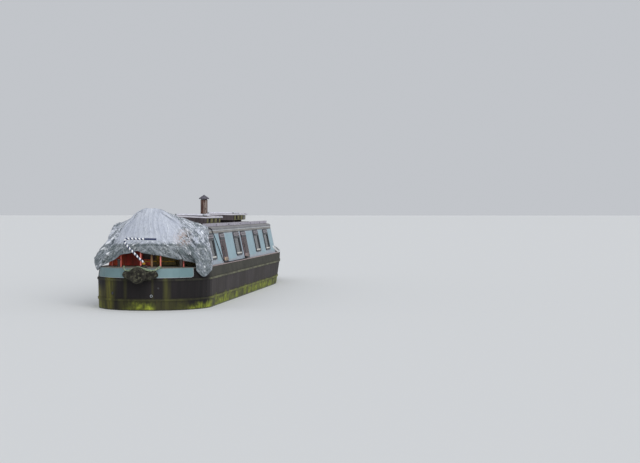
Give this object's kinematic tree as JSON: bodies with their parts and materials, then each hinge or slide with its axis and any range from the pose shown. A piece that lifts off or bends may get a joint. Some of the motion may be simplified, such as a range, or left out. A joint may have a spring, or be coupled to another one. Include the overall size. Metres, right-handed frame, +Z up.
{
  "type": "narrowboat",
  "caption": "Steel canal narrowboat with a rounded stern, long cabin, roof crates with solar panels and a tarpaulin over the stern deck.",
  "frame": {"origin": "under the middle of the boat, on the bottom of the base plate", "axes": "+X starboard, +Y towards the bow, +Z up"},
  "size_m": [2.1199, 12.919, 2.59],
  "materials": {
    "hull_paint": "weathered black bitumen hull paint with moss and algae near the waterline",
    "deck_paint": "worn light grey deck paint",
    "cabin_paint": "faded pale blue-grey cabin paint, satin",
    "roof_paint": "chalky light grey roof paint",
    "rail_paint": "pale lilac-grey rail paint",
    "red_paint": "faded dark red and maroon paint",
    "window_frame": "dull anodised window frame",
    "timber": "grey weathered sawn timber",
    "plywood": "varnished plywood",
    "solar_cell": "dark solar cells under glass",
    "rusty_steel": "rusty brown flue pipe",
    "cap_steel": "dull grey steel cap",
    "bright_steel": "grey machined steel",
    "bronze": "dull bronze",
    "rope_fender": "woven dark rope, weathered",
    "black_rope": "black braided rope",
    "tarpaulin": "silver-grey coated woven sheet",
    "tiller_paint": "navy and white spiral paint"
  },
  "bodies": {
    "root": {"base_plate": "hull_paint", "bow_fender": "rope_fender", "cabin_floor": "plywood", "cabin_roof": "roof_paint", "cabin_side_port": "cabin_paint", "cabin_side_starboard": "cabin_paint", "chimney": "rusty_steel", "chimney_cap": "cap_steel", "cleat": "deck_paint", "companion_steps": "plywood", "engine": "bright_steel", "fore_deck": "deck_paint", "front_bulkhead": "cabin_paint", "gunwale_port": "deck_paint", "gunwale_starboard": "deck_paint", "handrail_port": "rail_paint", "handrail_starboard": "rail_paint", "hatch_runners": "roof_paint", "hull_bow": "hull_paint", "hull_middle": "hull_paint", "hull_stern": "hull_paint", "rear_bulkhead": "red_paint", "roof_crate_aft": "timber", "roof_crate_fore": "timber", "skeg": "hull_paint", "solar_panel_aft": "solar_cell", "solar_panel_fore": "solar_cell", "stern_button_fender": "rope_fender", "stern_deck": "deck_paint", "stern_tipcat_fender": "rope_fender", "taff_rail_port": "red_paint", "taff_rail_starboard": "red_paint", "tarp_frame": "timber", "tarpaulin": "tarpaulin", "tie_rope": "black_rope", "well_deck": "deck_paint", "window_port_1": "window_frame", "window_port_2": "window_frame", "window_port_3": "window_frame", "window_port_4": "window_frame", "window_port_5": "window_frame", "window_port_6": "window_frame", "window_starboard_1": "window_frame", "window_starboard_3": "window_frame", "window_starboard_5": "window_frame", "window_starboard_6": "window_frame"},
    "steering": {"rudder": "hull_paint", "swan_neck": "tiller_paint"},
    "propeller": {"propeller": "bronze"},
    "sliding_hatch": {"sliding_hatch": "roof_paint"},
    "rear_door_starboard": {"rear_door_starboard": "red_paint"},
    "rear_door_port": {"rear_door_port": "red_paint"},
    "front_door_starboard": {"front_door_starboard": "red_paint"},
    "front_door_port": {"front_door_port": "red_paint"},
    "side_door_2": {"side_door_2": "red_paint"},
    "side_door_4": {"side_door_4": "red_paint"},
    "locker_lid": {"locker_lid": "deck_paint"}
  },
  "joints": [
    {"name": "tiller_swing", "type": "hinge", "parent": "root", "child": "steering", "pos_m": [0, -5.93, 1], "axis": [0, 0, 1], "range_deg": [0, 160]},
    {"name": "propeller_spin", "type": "hinge", "parent": "root", "child": "propeller", "pos_m": [0, -5.58, 0.255], "axis": [0, 1, 0], "continuous": true},
    {"name": "hatch_slide", "type": "slide", "parent": "root", "child": "sliding_hatch", "axis": [0, 1, 0], "range_m": [0, 0.55]},
    {"name": "rear_door_starboard_hinge", "type": "hinge", "parent": "root", "child": "rear_door_starboard", "pos_m": [0.325, -4.836, 1.6], "axis": [0, 0, 1], "range_deg": [0, 100]},
    {"name": "rear_door_port_hinge", "type": "hinge", "parent": "root", "child": "rear_door_port", "pos_m": [-0.325, -4.836, 1.6], "axis": [0, 0, -1], "range_deg": [0, 100]},
    {"name": "front_door_starboard_hinge", "type": "hinge", "parent": "root", "child": "front_door_starboard", "pos_m": [0.325, 3.536, 1.35], "axis": [0, 0, -1], "range_deg": [0, 110]},
    {"name": "front_door_port_hinge", "type": "hinge", "parent": "root", "child": "front_door_port", "pos_m": [-0.325, 3.536, 1.35], "axis": [0, 0, 1], "range_deg": [0, 110]},
    {"name": "side_door_2_hinge", "type": "hinge", "parent": "root", "child": "side_door_2", "pos_m": [0.88208, -2.766, 1.50162], "axis": [-0.2022, 0, 0.9793], "range_deg": [0, 160]},
    {"name": "side_door_4_hinge", "type": "hinge", "parent": "root", "child": "side_door_4", "pos_m": [0.88208, -0.266, 1.50162], "axis": [-0.2022, 0, 0.9793], "range_deg": [0, 160]},
    {"name": "locker_lid_hinge", "type": "hinge", "parent": "root", "child": "locker_lid", "pos_m": [0, 5.39, 1.42], "axis": [-1, 0, 0], "range_deg": [0, 95]}
  ]
}
